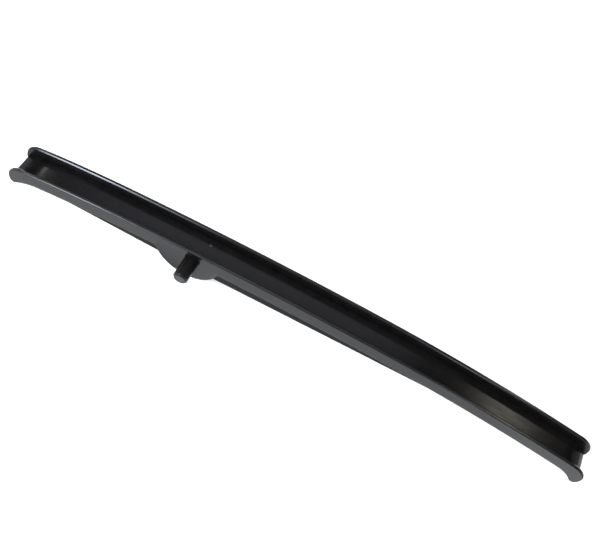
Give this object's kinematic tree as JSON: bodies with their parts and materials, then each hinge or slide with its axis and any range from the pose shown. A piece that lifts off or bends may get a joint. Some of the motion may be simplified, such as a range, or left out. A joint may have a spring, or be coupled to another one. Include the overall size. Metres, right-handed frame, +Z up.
{
  "type": "timing chain guide",
  "caption": "Slim bowed plastic channel with low lips, turned-down ends, a round lobe underneath and a locating peg on one flank; a running timing chain slides along it.",
  "frame": {"origin": "axis of the locating peg where it leaves the near flank", "axes": "+X along the guide from the peg's end to the plain end, +Y across it from the near flank to the far flank, +Z up out of the open channel"},
  "size_m": [0.2102, 0.0197, 0.0168],
  "materials": {
    "black_plastic": "satin, as moulded"
  },
  "bodies": {
    "root": {"chain_guide": "black_plastic"}
  },
  "joints": []
}
